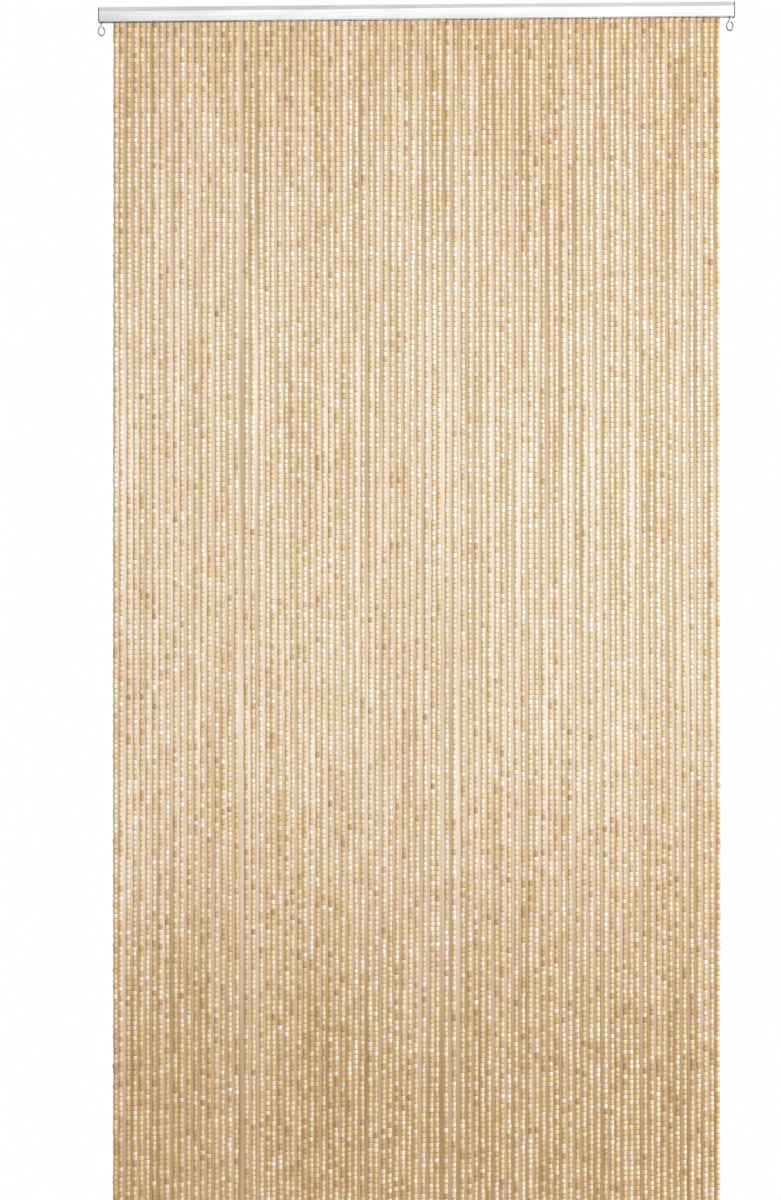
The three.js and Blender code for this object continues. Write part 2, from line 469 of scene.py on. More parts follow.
@dataclass(frozen=True)
class CapPlastic(Finish):
    """Moulded plastic with a fine grain."""

    name: str = "grained_plastic"
    slot: str = "cap_plastic"
    low: Colour = srgb(62, 63, 67)
    high: Colour = srgb(86, 87, 91)
    grain: Pattern = Pattern((2600.0, 2600.0, 2600.0))
    grain_height: float = 0.04 * MM
    roughness: Span = (0.45, 0.65)

    def fill(self, graph: Graph, surface: bpy.types.Node) -> None:
        """Adds the moulded grain."""
        grain = graph.noise(graph.place(), self.grain)
        inputs = {
            "Base Color": graph.mix(grain, self.low, self.high),
            "Roughness": between(grain, self.roughness),
            "Normal": graph.bump(grain, self.grain_height),
        }
        graph.feed(surface, inputs)


@dataclass(frozen=True)
class Thread(Finish):
    """Twisted cotton thread."""

    name: str = "twisted_thread"
    slot: str = "strand_cord"
    light: Colour = srgb(232, 220, 190)
    dark: Colour = srgb(168, 150, 112)
    twist_across: float = 1600.0  # radians of the twist's wave a metre
    twist_along: float = 5200.0
    twist_share: float = 0.7
    fluff: Pattern = Pattern((3000.0, 3000.0, 1500.0), 2.0, 0.6)
    height: float = 0.12 * MM
    roughness: Span = (0.95, 0.85)

    def fill(self, graph: Graph, surface: bpy.types.Node) -> None:
        """Adds the twist as slanted stripes, and fluff."""
        place = graph.place()
        x, y, z = graph.parts(place)
        wave = (x + y) * self.twist_across + z * self.twist_along
        twist = between(graph.signal("ShaderNodeMath", {"operation": "SINE"}, {0: wave}), (0.5, 1.0))
        fluff = graph.noise(place, self.fluff)
        relief = twist * self.twist_share + fluff * (1 - self.twist_share)
        inputs = {
            "Base Color": graph.mix(relief, self.dark, self.light),
            "Roughness": between(fluff, self.roughness),
            "Normal": graph.bump(relief, self.height),
        }
        graph.feed(surface, inputs)


@dataclass(frozen=True)
class FloorPaint(Finish):
    """A pale matt floor that fades out at its rim."""

    name: str = "pale_floor"
    colour: Colour = srgb(236, 230, 222)
    cloud_colour: Colour = srgb(228, 220, 210)
    clouds: Pattern = Pattern((3.0, 3.0, 3.0))
    cloud_share: float = 0.25
    fading: Span = (0.3, 1.2)  # metres from the middle
    roughness: float = 0.9

    def fill(self, graph: Graph, surface: bpy.types.Node) -> None:
        """Adds a faint unevenness and the soft rim."""
        place = graph.place()
        x, y, _ = graph.parts(place)
        reach = graph.signal("ShaderNodeMath", {"operation": "SQRT"}, {0: x * x + y * y})
        cloud = graph.noise(place, self.clouds) * self.cloud_share
        inputs = {
            "Base Color": graph.mix(cloud, self.colour, self.cloud_colour),
            "Alpha": 1.0 - graph.step(reach, self.fading),
            "Roughness": self.roughness,
        }
        graph.feed(surface, inputs)


def linked(thing: bpy.types.Object) -> bpy.types.Object:
    """Puts an object in the scene and gives it back."""
    bpy.context.scene.collection.objects.link(thing)
    return thing


def finished(name: str, mesh: bpy.types.Mesh, finish: Finish, node: str) -> bpy.types.Object:
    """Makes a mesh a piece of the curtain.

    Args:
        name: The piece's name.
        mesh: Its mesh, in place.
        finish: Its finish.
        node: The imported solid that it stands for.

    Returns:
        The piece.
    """
    mesh.name = name
    mesh.materials.clear()
    mesh.materials.append(finish.material())
    piece = linked(bpy.data.objects.new(name, mesh))
    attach(piece, BODY)
    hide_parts(node)
    LOG.info("%s: %d faces", name, len(mesh.polygons))
    return piece


def plain_mesh(form: bmesh.types.BMesh) -> bpy.types.Mesh:
    """Turns a bmesh into a mesh and frees the bmesh."""
    mesh = bpy.data.meshes.new("form")
    form.to_mesh(mesh)
    form.free()
    return mesh


def mesh_of(form: bmesh.types.BMesh, smooth_angle: float = math.radians(40)) -> bpy.types.Mesh:
    """Turns a bmesh into a mesh with its faces outwards, smooth but for its sharp edges.

    Args:
        form: The bmesh, which is freed.
        smooth_angle: Edges that are sharper than this stay hard.

    Returns:
        The mesh.
    """
    same_place = 1e-7
    bmesh.ops.remove_doubles(form, verts=form.verts, dist=same_place)
    bmesh.ops.recalc_face_normals(form, faces=form.faces)
    for face in form.faces:
        face.smooth = True
    for edge in form.edges:
        edge.smooth = not edge.is_manifold or edge.calc_face_angle(0.0) < smooth_angle
    return plain_mesh(form)


def take_in(form: bmesh.types.BMesh, mesh: bpy.types.Mesh) -> None:
    """Adds a mesh to a bmesh and removes the mesh."""
    form.from_mesh(mesh)
    bpy.data.meshes.remove(mesh)


def baked(drawn: bpy.types.Object) -> bpy.types.Mesh:
    """Turns an object with modifiers, or one of a curve, into a plain mesh.

    Args:
        drawn: The object, which is removed with its data.

    Returns:
        The mesh.
    """
    source = linked(drawn).data
    graph = bpy.context.evaluated_depsgraph_get()
    mesh = bpy.data.meshes.new_from_object(drawn.evaluated_get(graph))
    bpy.data.objects.remove(drawn)
    bpy.data.batch_remove([source])
    return mesh


def verts_in(parts: list) -> list[bmesh.types.BMVert]:
    """The vertices among what an operator made."""
    return [part for part in parts if isinstance(part, bmesh.types.BMVert)]


def edges_at(verts: list[bmesh.types.BMVert]) -> list[bmesh.types.BMEdge]:
    """The edges that end at any of some vertices."""
    return list(dict.fromkeys(edge for vert in verts for edge in vert.link_edges))


def soften(form: bmesh.types.BMesh, parts: list, reach: float, segments: int, affect: str = "EDGES") -> None:
    """Rounds edges or corners.

    Args:
        form: The bmesh they are in.
        parts: The edges, or the vertices.
        reach: How far the rounding goes.
        segments: How many faces it has.
        affect: EDGES or VERTICES.
    """
    bmesh.ops.bevel(
        form,
        geom=parts,
        offset=reach,
        offset_type="OFFSET",
        segments=segments,
        profile=0.5,
        affect=affect,
        material=-1,
    )


def triples(items: bpy.types.bpy_prop_collection, name: str) -> np.ndarray:
    """Reads a place of every vertex or face, in rows of X, Y and Z."""
    values = np.zeros(len(items) * 3)
    items.foreach_get(name, values)
    return values.reshape(-1, 3)


class StrandPaths:
    """The centre lines of the strands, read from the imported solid."""

    corners: int = 4  # of a packed strand's section
    below_rail: float = 0.5 * MM  # what is higher belongs to the strip and the roots
    decimals: int = 6  # of a place in metres, to find the corners that are the same

    def __init__(self, node: bpy.types.Object, strands: int, segments: int) -> None:
        """Finds the rings of the four-sided strands and keeps their centres.

        Args:
            node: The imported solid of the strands.
            strands: The number of strands.
            segments: How many straight lengths each has.
        """
        places = np.unique(triples(node.data.vertices, "co").round(self.decimals), axis=0)
        below = places[places[:, 2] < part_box("rail")[0].z - self.below_rail]
        top, bottom = below[:, 2].max(), below[:, 2].min()
        level = np.rint((top - below[:, 2]) / (top - bottom) * segments).astype(int)
        self.x = np.zeros((segments + 1, strands))
        self.z = np.zeros((segments + 1, strands))
        for k in range(segments + 1):
            ring = below[level == k]
            ring = ring[np.argsort(ring[:, 0])].reshape(strands, self.corners, 3)
            self.x[k] = ring[:, :, 0].mean(1)
            self.z[k] = ring[:, :, 2].mean(1)
        self.y = float(below[:, 1].mean())
        self.strands = strands
        self.segments = segments

    def across(self, strand: np.ndarray, share: np.ndarray) -> np.ndarray:
        """Where strands are at shares of their length, on a smooth curve through the rings.

        Args:
            strand: The strands' numbers.
            share: 0 at the top, 1 at the lower end.

        Returns:
            The x of each.
        """
        at = np.clip(share, 0.0, 1.0) * self.segments
        k = np.minimum(at.astype(int), self.segments - 1)
        t = at - k
        x0, x1 = self.x[k, strand], self.x[k + 1, strand]
        before = self.x[np.maximum(k - 1, 0), strand]
        after = self.x[np.minimum(k + 2, self.segments), strand]
        m0, m1 = (x1 - before) / 2, (after - x0) / 2
        return (
            (2 * t**3 - 3 * t**2 + 1) * x0
            + (t**3 - 2 * t**2 + t) * m0
            + (3 * t**2 - 2 * t**3) * x1
            + (t**3 - t**2) * m1
        )


@dataclass(frozen=True)
class Patches:
    """How much the beads' tone is raised or lowered over wide stretches of the curtain, with a painted
    shadow of the rail at the top.
    """

    seed: int = 91
    palest_depth: float = 0.62  # below the rail
    fade_length: float = 1.9
    fade_tone: float = 0.12
    right_tone: float = 0.13  # paler by this a metre to the right
    rail_shadow_depth: float = 0.07
    rail_shadow_tone: float = 0.2  # painted shadow of the rail: darker by this at the rail
    low_depths: Span = (0.95, 1.55)
    low_tones: Span = (0.0, -0.06)
    waves: int = 7
    wave_tone: float = 0.022
    wave_lengths: Span = (0.12, 0.5)
    wave_stretch: float = 0.5  # of the depth, so that they are longer downwards

    def tone(self, across: np.ndarray, depth: np.ndarray) -> np.ndarray:
        """What is added to the beads' tone.

        Args:
            across: The x of the strands.
            depth: How far the beads hang below the rail.

        Returns:
            The tone, by strand and bead.
        """
        chance = np.random.default_rng(self.seed)
        tone = self.fade_tone * np.cos(FULL_TURN * (depth - self.palest_depth) / self.fade_length)
        # a painted shadow of the rail darkens the beads just below it
        tone = tone + self.right_tone * across - self.rail_shadow_tone * np.exp(-depth / self.rail_shadow_depth)
        tone = tone + np.interp(depth, self.low_depths, self.low_tones)
        for _ in range(self.waves):
            turn = chance.uniform(0, FULL_TURN)
            length = chance.uniform(*self.wave_lengths)
            along = across * math.cos(turn) + depth * self.wave_stretch * math.sin(turn)
            tone = tone + self.wave_tone * np.sin(FULL_TURN * along / length + chance.uniform(0, FULL_TURN))
        return tone


@dataclass(frozen=True)
class BeadTable:
    """Which strand, bead and ring each vertex and face of the straight strands is on."""

    strand: np.ndarray
    bead: np.ndarray
    ring: np.ndarray
    angle: np.ndarray  # of a vertex around its strand
    face_strand: np.ndarray
    face_bead: np.ndarray


@dataclass
class Beads:
    """The wooden beads of all strands, joined into pieces of a few strands each."""

    paths: StrandPaths
    finish: BeadWood
    patches: Patches = Patches()
    seed: int = 90
    beads: int = 277
    strands_a_piece: int = 6
    knot_room: float = 4.5 * MM

    sides: int = 8
    radius: float = 3.15 * MM
    joint_radius: float = 2.2 * MM
    rounding: float = 1.15 * MM
    rim_angle: float = math.radians(50)  # between the angle of two sides and that of a rim
    join_gap: float = 0.11 * MM  # rings that are nearer to each other become one

    radius_spread: float = 0.045
    radius_limit: float = 2.0  # how many spreads a bead may be off at most
    length_spread: float = 0.05
    shift_spread: float = 0.22 * MM
    lean_spread: float = 0.045
    place_limit: float = 1.8
    turn_spread: float = math.radians(25)

    tone: float = 0.58  # the beads' mean place on the ramp of browns
    strand_tone: float = 0.05  # how uneven the tone is from strand to strand,
    drift_tone: float = 0.1  # over a run of beads,
    drift_beads: int = 9
    drift_weight: float = 2.1
    bead_tone: float = 0.19  # and from bead to bead
    contrast_depths: Span = (0.9, 1.3)
    contrasts: Span = (0.92, 1.14)
    dark_beads: float = 0.05  # the share of beads that are deeper still
    pale_beads: float = 0.1
    odd_tone: float = 0.16
    darkest: float = 0.04

    map_columns: int = 4  # of each strand in the bake map
    map_inset: float = 0.05  # left free around a bead's patch of the map
    map_shoulders: Span = (0.17, 0.83)  # how far down the patch the shoulders are
    map_cap: float = 0.4  # the radius of a strand's end face in its patch

    def build(self) -> list[bpy.types.Object]:
        """Builds all pieces.

        Returns:
            The pieces.
        """
        chance = np.random.default_rng(self.seed)
        straight = self._straight_strands()
        table = self._table(straight)
        self._bake_map(straight, table)
        pieces = []
        for first in range(0, self.paths.strands, self.strands_a_piece):
            mesh = straight.copy()
            self._hang(mesh, table, first, chance)
            self._tint(mesh, table, first, chance)
            name = f"beads_{first + 1:02d}_to_{first + self.strands_a_piece:02d}"
            pieces.append(finished(name, mesh, self.finish, "strands"))
        bpy.data.meshes.remove(straight)
        return pieces

    def _pitch(self) -> float:
        """The mean length of a bead."""
        length = float((self.paths.z[0] - self.paths.z[-1]).mean())
        return (length - self.knot_room) / self.beads

    def _spacing(self) -> float:
        """The distance between straight strands, before they are hung."""
        return 4 * self.radius

    def _bead(self) -> bpy.types.Mesh:
        """One bead as an open shell: a joint ring, two shoulders and a joint ring."""
        form = bmesh.new()
        bmesh.ops.create_circle(form, segments=self.sides, radius=self.joint_radius, cap_ends=False)
        edges = list(form.edges)
        swell = self.radius / self.joint_radius
        straight = self._pitch() - 2 * self.rounding
        steps = ((swell, self.rounding), (1.0, straight), (1 / swell, self.rounding))
        for scale, drop in steps:
            ring = verts_in(bmesh.ops.extrude_edge_only(form, edges=edges)["geom"])
            edges = [edge for edge in edges_at(ring) if all(vert in ring for vert in edge.verts)]
            bmesh.ops.scale(form, vec=(scale, scale, 1), verts=ring)
            bmesh.ops.translate(form, vec=(0, 0, -drop), verts=ring)
        return plain_mesh(form)

    def _straight_strands(self) -> bpy.types.Mesh:
        """Straight closed strands of equal beads, side by side, from z = 0 down."""
        carrier = bpy.data.objects.new("carrier", self._bead())
        down = (self.beads, (0, 0, -self._pitch()))
        aside = (self.strands_a_piece, (self._spacing(), 0, 0))
        for count, offset in (down, aside):
            row = carrier.modifiers.new("row", "ARRAY")
            row.count = count
            row.use_relative_offset = False
            row.use_constant_offset = True
            row.constant_offset_displace = offset
            row.use_merge_vertices = True
            row.merge_threshold = self.join_gap
        form = bmesh.new()
        take_in(form, baked(carrier))
        bmesh.ops.holes_fill(form, edges=[edge for edge in form.edges if edge.is_boundary], sides=0)
        return mesh_of(form, self.rim_angle)

    def _table(self, mesh: bpy.types.Mesh) -> BeadTable:
        """Says for each vertex and face of the straight strands which strand and bead it is on.

        Args:
            mesh: The straight strands.

        Returns:
            The table.
        """
        at_joint = 1e-3  # of a bead, so that a joint's vertices count as the bead's below it
        places = triples(mesh.vertices, "co")
        strand = np.rint(places[:, 0] / self._spacing()).astype(int)
        level = -places[:, 2] / self._pitch()
        bead = np.floor(level + at_joint).astype(int)
        down = (level - bead) * self._pitch()
        shoulder = np.where(down < self._pitch() / 2, Ring.UPPER_SHOULDER, Ring.LOWER_SHOULDER)
        centres = triples(mesh.polygons, "center")
        face_bead = np.clip(np.floor(-centres[:, 2] / self._pitch()), 0, self.beads - 1)
        return BeadTable(
            strand=strand,
            bead=bead,
            ring=np.where(down < self.rounding / 2, Ring.JOINT, shoulder),
            angle=np.arctan2(places[:, 1], places[:, 0] - strand * self._spacing()),
            face_strand=np.rint(centres[:, 0] / self._spacing()).astype(int),
            face_bead=face_bead.astype(int),
        )

    def _hang(self, mesh: bpy.types.Mesh, table: BeadTable, first: int, chance: np.random.Generator) -> None:
        """Moves straight strands onto their centre lines and makes each bead uneven.

        Args:
            mesh: A copy of the straight strands.
            table: Where its vertices are.
            first: The number of the first strand.
            chance: The source of random numbers.
        """
        shape = (self.strands_a_piece, self.beads + 1)
        lengths = 1 + self.length_spread * chance.uniform(-1, 1, (shape[0], self.beads))
        ends = np.concatenate([np.zeros((shape[0], 1)), lengths.cumsum(1)], 1)
        ends /= ends[:, -1:]
        uneven = np.clip(chance.normal(0, 1, shape), -self.radius_limit, self.radius_limit)
        width = self.radius * (1 + self.radius_spread * uneven)
        limits = (-self.place_limit, self.place_limit)
        shift = self.shift_spread * np.clip(chance.normal(0, 1, (2, *shape)), *limits)
        lean = self.lean_spread * np.clip(chance.normal(0, 1, (2, *shape)), *limits)
        turn = self.turn_spread * chance.uniform(-1, 1, shape)

        strand, bead = table.strand, table.bead
        top = self.paths.z[0][first + strand]
        length = (top - self.paths.z[-1][first + strand]) - self.knot_room
        joint = table.ring == Ring.JOINT
        share = ends[strand, bead]
        next_share = ends[strand, np.minimum(bead + 1, self.beads)]
        side = np.where(table.ring == Ring.UPPER_SHOULDER, 1.0, -1.0)
        from_middle = side * ((next_share - share) * length / 2 - self.rounding)
        z = np.where(joint, top - share * length, top - (share + next_share) / 2 * length + from_middle)
        radius = np.where(joint, self.joint_radius, width[strand, bead])
        angle = table.angle + np.where(joint, 0.0, turn[strand, bead])
        round_x, round_y = radius * np.cos(angle), radius * np.sin(angle)
        loose = np.where(joint, 0.0, 1.0)
        lean_x, lean_y = lean[0][strand, bead] * loose, lean[1][strand, bead] * loose
        x = self.paths.across(first + strand, (top - z) / (length + self.knot_room))
        x = x + shift[0][strand, bead] * loose + lean_x * from_middle + round_x
        y = self.paths.y + shift[1][strand, bead] * loose + lean_y * from_middle + round_y
        z = z - lean_x * round_x - lean_y * round_y
        mesh.vertices.foreach_set("co", np.stack([x, y, z], 1).astype(np.float32).ravel())
        # the joint mask, where the wood gets dirt and painted shade
        crevice = mesh.attributes.new(JOINT_DIRT_AND_SHADE, "FLOAT", "POINT")
        crevice.data.foreach_set("value", joint.astype(np.float32))
        mesh.update()

    def _tint(self, mesh: bpy.types.Mesh, table: BeadTable, first: int, chance: np.random.Generator) -> None:
        """Gives each bead its tone, hue and seed.

        Args:
            mesh: The hung strands.
            table: Where its faces are.
            first: The number of the first strand.
            chance: The source of random numbers.
        """
        shape = (self.strands_a_piece, self.beads)
        drift = chance.normal(0, 1, (shape[0], self.beads + self.drift_beads - 1))
        weights = np.hanning(self.drift_beads) / self.drift_weight
        drift = np.stack([np.convolve(row, weights, "valid") for row in drift])
        across = self.paths.x[0][first : first + shape[0], None]
        depth = (np.arange(shape[1])[None, :] + 0.5) * self._pitch()
        uneven = self.strand_tone * chance.normal(0, 1, (shape[0], 1)) + self.drift_tone * drift
        uneven = uneven + self.bead_tone * chance.normal(0, 1, shape)
        contrast = np.interp(depth, self.contrast_depths, self.contrasts)
        tone = self.tone + self.patches.tone(across, depth) + contrast * uneven
        odd = chance.uniform(0, 1, shape)
        tone = np.where(odd < self.dark_beads, tone - self.odd_tone, tone)
        tone = np.where(odd > 1 - self.pale_beads, tone + self.odd_tone, tone)
        tone = np.clip(tone, self.darkest, 1.0)
        values = np.stack([tone, chance.uniform(0, 1, shape), chance.uniform(0, 1, shape)], 2)
        found = values[table.face_strand, table.face_bead]
        attribute = mesh.attributes.new(BEAD_VALUES, "FLOAT_VECTOR", "FACE")
        attribute.data.foreach_set("vector", found.astype(np.float32).ravel())

    def _bake_map(self, mesh: bpy.types.Mesh, table: BeadTable) -> None:
        """Gives each bead its own patch of a map, with its skin unrolled along the strand.

        Args:
            mesh: The straight strands.
            table: Where its vertices and faces are.
        """
        rows = math.ceil((self.beads + 2) / self.map_columns)
        corner = np.zeros(len(mesh.loops), np.int32)
        mesh.loops.foreach_get("vertex_index", corner)
        counts = np.zeros(len(mesh.polygons), np.int32)
        mesh.polygons.foreach_get("loop_total", counts)
        face = np.repeat(np.arange(len(counts)), counts)
        centres = triples(mesh.polygons, "center")
        strand, bead = table.face_strand[face], table.face_bead[face]
        side = FULL_TURN / self.sides
        face_angle = np.arctan2(centres[:, 1], centres[:, 0] - table.face_strand * self._spacing())
        face_turn = np.mod(face_angle, FULL_TURN)[face] / side
        own_turn = np.mod(table.angle[corner], FULL_TURN) / side
        around = face_turn + np.mod(own_turn - face_turn + self.sides / 2, self.sides) - self.sides / 2
        around = around / self.sides
        ring = table.ring[corner]
        places = [ring == Ring.UPPER_SHOULDER, ring == Ring.LOWER_SHOULDER, table.bead[corner] > bead]
        down = np.select(places, [*self.map_shoulders, 1.0], 0.0)
        cap = counts[face] == self.sides
        around = np.where(cap, 0.5 + self.map_cap * np.cos(own_turn * side), around)
        down = np.where(cap, 0.5 + self.map_cap * np.sin(own_turn * side), down)
        upper = centres[face, 2] > -self._pitch()
        cell = np.where(cap, np.where(upper, self.beads, self.beads + 1), bead)
        column = strand * self.map_columns + cell // rows
        inner = 1 - 2 * self.map_inset
        u = (column + self.map_inset + inner * around) / (self.map_columns * self.strands_a_piece)
        v = 1 - (cell % rows + self.map_inset + inner * down) / rows
        layer = mesh.uv_layers.new(name=BAKE_MAP)
        layer.data.foreach_set("uv", np.stack([u, v], 1).astype(np.float32).ravel())


@dataclass
class Threads:
    """The threads: from the carrier to the first bead, and knotted under the last one."""

    paths: StrandPaths
    finish: Thread
    carrier_bottom: float
    knot_room: float
    seed: int = 12
    sides: int = 8
    radius: float = 0.55 * MM
    taper: float = 0.85  # of the radius, at the lower end
    tail: float = 3.2 * MM
    tail_lean: float = 0.25
    knot_bend: float = 0.6325 * MM
    knot_wall: float = 0.75 * MM
    knot_drop: float = 0.975 * MM
    knot_tilt: float = 0.5
    knot_steps: int = 10

    def build(self) -> bpy.types.Object:
        """Builds the threads of all strands as one piece.

        Returns:
            The piece.
        """
        form = bmesh.new()
        chance = np.random.default_rng(self.seed)
        for strand in range(self.paths.strands):
            x, z = self.paths.x[0, strand], self.paths.z[0, strand]
            self._length(form, x, self.carrier_bottom + self.radius, z - self.radius, 0.0)
            x, end = self.paths.x[-1, strand], self.paths.z[-1, strand] + self.knot_room
            lean = chance.uniform(-self.tail_lean, self.tail_lean)
            self._length(form, x, end + self.radius, end - self.tail, lean)
            tilt = chance.uniform(-self.knot_tilt, self.knot_tilt)
            self._knot(form, Vector((x, self.paths.y, end - self.knot_drop)), tilt)
        return finished("threads", mesh_of(form), self.finish, "strands")

    def _length(self, form: bmesh.types.BMesh, x: float, high: float, low: float, lean: float) -> None:
        """Adds one straight length of thread.

        Args:
            form: Where it is added.
            x: Its place along the rail.
            high: Its upper end.
            low: Its lower end.
            lean: How far it leans, in radians.
        """
        hung = Matrix.Translation((x, self.paths.y, high)) @ Matrix.Rotation(lean, 4, "Y")
        bmesh.ops.create_cone(
            form,
            cap_ends=True,
            segments=self.sides,
            radius1=self.radius * self.taper,
            radius2=self.radius,
            depth=high - low,
            matrix=hung @ Matrix.Translation((0, 0, (low - high) / 2)),
        )

    def _knot(self, form: bmesh.types.BMesh, centre: Vector, tilt: float) -> None:
        """Adds one knot: a thick tilted turn of thread.

        Args:
            form: Where it is added.
            centre: Its centre.
            tilt: How far it is tilted, in radians.
        """
        place = Matrix.Translation(centre) @ Matrix.Rotation(tilt, 4, "Y")
        upright = Matrix.Rotation(FULL_TURN / 4, 4, "X")
        section = place @ Matrix.Translation((self.knot_bend, 0, 0)) @ upright
        made = bmesh.ops.create_circle(form, segments=self.sides, radius=self.knot_wall, matrix=section)
        ring = made["verts"]
        bmesh.ops.spin(
            form,
            geom=ring + edges_at(ring),
            cent=centre,
            axis=place.to_3x3() @ Vector((0, 0, 1)),
            angle=FULL_TURN,
            steps=self.knot_steps,
            use_merge=True,
            use_duplicate=False,
        )


@dataclass(frozen=True)
class Corner:
    """One corner of a section, with the radius that rounds it."""

    y: float
    z: float
    radius: float = 0.0


@dataclass
class Extrusion:
    """Pieces with one section along X."""

    corners: list[Corner]
    segments: int = 4
    segments_a_mm: int = 3
    edge_segments: int = 3

    def solid(self, start: float, end: float, edge: float = 0.0) -> bmesh.types.BMesh:
        """Runs the rounded section between two places.

        Args:
            start: The x of its first end.
            end: The x of its other end.
            edge: How far the edges of both ends are rounded.

        Returns:
            The closed solid.
        """
        form = bmesh.new()
        verts = [form.verts.new((start, corner.y, corner.z)) for corner in self.corners]
        form.faces.new(verts)
        for vert, corner in zip(verts, self.corners):
            if corner.radius:
                segments = max(self.segments, round(corner.radius / MM * self.segments_a_mm))
                soften(form, [vert], corner.radius, segments, "VERTICES")
        moved = verts_in(bmesh.ops.extrude_face_region(form, geom=list(form.faces))["geom"])
        bmesh.ops.translate(form, vec=(end - start, 0, 0), verts=moved)
        bmesh.ops.recalc_face_normals(form, faces=form.faces)
        if edge:
            same_x = 1e-9
            rims = [e for e in form.edges if abs(e.verts[0].co.x - e.verts[1].co.x) < same_x]
            soften(form, rims, edge, self.edge_segments)
        return form


def block(low: Span, high: Span, radius: float) -> Extrusion:
    """A bar with a rounded rectangle as its section.

    Args:
        low: The y and z of the section's lowest corner.
        high: The y and z of its highest corner.
        radius: The radius of its corners.

    Returns:
        The bar, still without its ends.
    """
    places = ((low[0], low[1]), (high[0], low[1]), (high[0], high[1]), (low[0], high[1]))
    return Extrusion([Corner(y, z, radius) for y, z in places], segments=2)


@dataclass
class Rail:
    """The aluminium channel, its end caps and the strip inside it."""

    metal: RailMetal
    plastic: CapPlastic
    wall: float = 1.3 * MM
    slot: float = 6 * MM
    slope_height: float = 6.2 * MM
    slope_depth: float = 3.6 * MM
    slope_edge: float = 1.0 * MM
    groove_width: float = 0.6 * MM
    groove_depth: float = 0.45 * MM
    groove_floor: Span = (0.3, 0.7)  # of its width
    edge: float = 0.35 * MM
    cap_gap: float = 0.3 * MM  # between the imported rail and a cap's plate, which the channel fills
    cap_edge: float = 0.3 * MM
    plug_depth: float = 7.4 * MM
    plug_play: float = 0.3 * MM
    plug_bottom: float = 4.5 * MM
    strip_height: float = 2.5 * MM
    strip_reach: float = 430 * MM

    def build(self) -> list[bpy.types.Object]:
        """Builds the channel, the caps and the strip.

        Returns:
            The pieces.
        """
        low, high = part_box("rail")
        caps = {side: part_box(f"end_cap_{side.value}") for side in Side}
        start, end = caps[Side.LEFT][0].x, caps[Side.RIGHT][1].x
        plate = (end - start - (high.x - low.x)) / 2 - self.cap_gap
        channel = Extrusion(self._section(low, high)).solid(start + plate, end - plate)
        return [
            finished("rail_channel", mesh_of(channel), self.metal, "rail"),
            self._cap(Side.LEFT, (start, start + plate), caps[Side.LEFT][1].x),
            self._cap(Side.RIGHT, (end - plate, end), caps[Side.RIGHT][0].x),
            self._strip(),
        ]

    def strip_bottom(self) -> float:
        """The z of the strip's underside."""
        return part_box("strands")[1].z - self.strip_height

    def _strip(self) -> bpy.types.Object:
        """Builds the strip in the rail that the strands are tied to."""
        low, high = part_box("strands")
        bar = block((low.y, self.strip_bottom()), (high.y, high.z), self.edge)
        form = bar.solid(-self.strip_reach, self.strip_reach)
        return finished("carrier_strip", mesh_of(form), self.plastic, "strands")

    def _section(self, low: Vector, high: Vector) -> list[Corner]:
        """The corners of the channel's section.

        Args:
            low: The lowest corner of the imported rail.
            high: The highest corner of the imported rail.

        Returns:
            The corners, from the front lip up, over the slope and back.
        """
        front, back, bottom, top = low.y, high.y, low.z, high.z
        middle = (front + back) / 2
        groove = top - self.slope_height
        floor_high, floor_low = self.groove_floor
        tight = self.edge / 2
        slope = math.hypot(self.slope_height, self.slope_depth)
        inner_groove = groove - self.wall * (slope - self.slope_height) / self.slope_depth
        inner_edge = front + self.slope_depth + self.wall * (slope - self.slope_depth) / self.slope_height
        return [
            Corner(middle - self.slot / 2, bottom + self.wall, tight),
            Corner(middle - self.slot / 2, bottom, tight),
            Corner(front, bottom, self.edge * 2),
            Corner(front, groove - self.groove_width),
            Corner(front + self.groove_depth, groove - self.groove_width * floor_low),
            Corner(front + self.groove_depth, groove - self.groove_width * floor_high),
            Corner(front, groove),
            Corner(front + self.slope_depth, top, self.slope_edge),
            Corner(back, top, self.edge),
            Corner(back, bottom, self.edge),
            Corner(middle + self.slot / 2, bottom, tight),
            Corner(middle + self.slot / 2, bottom + self.wall, tight),
            Corner(back - self.wall, bottom + self.wall, tight),
            Corner(back - self.wall, top - self.wall, tight),
            Corner(inner_edge, top - self.wall, tight),
            Corner(front + self.wall, inner_groove, tight),
            Corner(front + self.wall, bottom + self.wall, tight),
        ]

    def _cap(self, side: Side, plate: Span, plug_end: float) -> bpy.types.Object:
        """Builds one end cap: a plate with softened edges and a plug in the channel.

        Args:
            side: Which end.
            plate: The x of the plate's two faces.
            plug_end: The x of the plug's inner end.

        Returns:
            The piece.
        """
        low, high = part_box("rail")
        outline = [
            Corner(low.y, low.z, self.edge * 2),
            Corner(low.y, high.z - self.slope_height, self.edge),
            Corner(low.y + self.slope_depth, high.z, self.slope_edge),
            Corner(high.y, high.z, self.edge),
            Corner(high.y, low.z, self.edge),
        ]
        form = Extrusion(outline).solid(*plate, self.cap_edge)
        inset = self.wall + self.plug_play
        lowest = (high.y - inset - self.plug_depth, low.z + self.plug_bottom)
        plug = block(lowest, (high.y - inset, high.z - inset), self.edge)
        ends = sorted((sum(plate) / 2, plug_end))
        take_in(form, plain_mesh(plug.solid(*ends)))
        return finished(f"end_cap_{side.value}_cover", mesh_of(form), self.plastic, f"end_cap_{side.value}")


